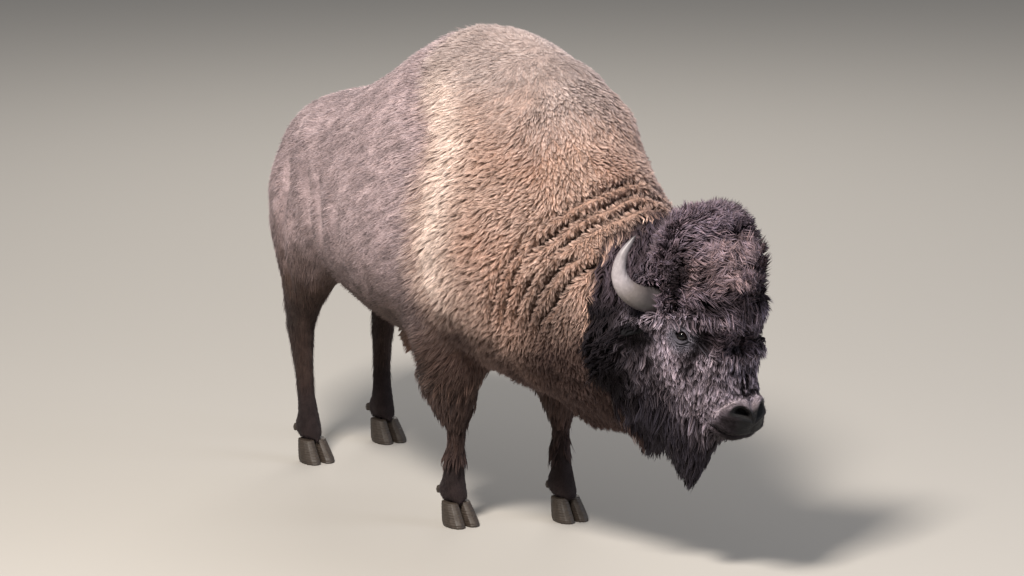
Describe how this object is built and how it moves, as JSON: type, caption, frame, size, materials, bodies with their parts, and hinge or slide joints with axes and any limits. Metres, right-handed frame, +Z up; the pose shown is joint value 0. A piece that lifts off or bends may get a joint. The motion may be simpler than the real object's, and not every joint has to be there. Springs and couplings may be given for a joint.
{
  "type": "bison bull model",
  "caption": "Life-size still model of an American bison bull standing with its head low and turned a little to its left.",
  "frame": {"origin": "on the floor, under the middle of the model's box", "axes": "+Z up; the body faces -Y; +X is the animal's left"},
  "size_m": [0.9094, 2.8308, 1.788],
  "materials": {
    "cape_wool": "curly tan wool of the hump, shoulders and neck",
    "short_coat": "short grey-brown hair of the hindquarters",
    "dark_wool": "long blackish-brown hair of the head, beard, legs and tail",
    "horn": "grey horn with a darker tip",
    "hoof": "blackish hoof horn",
    "eye": "wet dark brown eye"
  },
  "bodies": {
    "root": {"barrel": "short_coat", "beard": "dark_wool", "crown_hair": "dark_wool", "dewclaw_front_left_inner": "hoof", "dewclaw_front_left_outer": "hoof", "dewclaw_front_right_inner": "hoof", "dewclaw_front_right_outer": "hoof", "dewclaw_hind_left_inner": "hoof", "dewclaw_hind_left_outer": "hoof", "dewclaw_hind_right_inner": "hoof", "dewclaw_hind_right_outer": "hoof", "ear_left": "dark_wool", "ear_right": "dark_wool", "eye_left": "eye", "eye_right": "eye", "head": "dark_wool", "hoof_front_left_inner": "hoof", "hoof_front_left_outer": "hoof", "hoof_front_right_inner": "hoof", "hoof_front_right_outer": "hoof", "hoof_hind_left_inner": "hoof", "hoof_hind_left_outer": "hoof", "hoof_hind_right_inner": "hoof", "hoof_hind_right_outer": "hoof", "horn_left": "horn", "horn_right": "horn", "hump_and_shoulders": "cape_wool", "leg_front_left": "dark_wool", "leg_front_right": "dark_wool", "leg_hind_left": "dark_wool", "leg_hind_right": "dark_wool", "muzzle": "dark_wool", "neck": "cape_wool", "rump": "short_coat", "tail": "dark_wool", "tail_tuft": "dark_wool"}
  },
  "joints": []
}
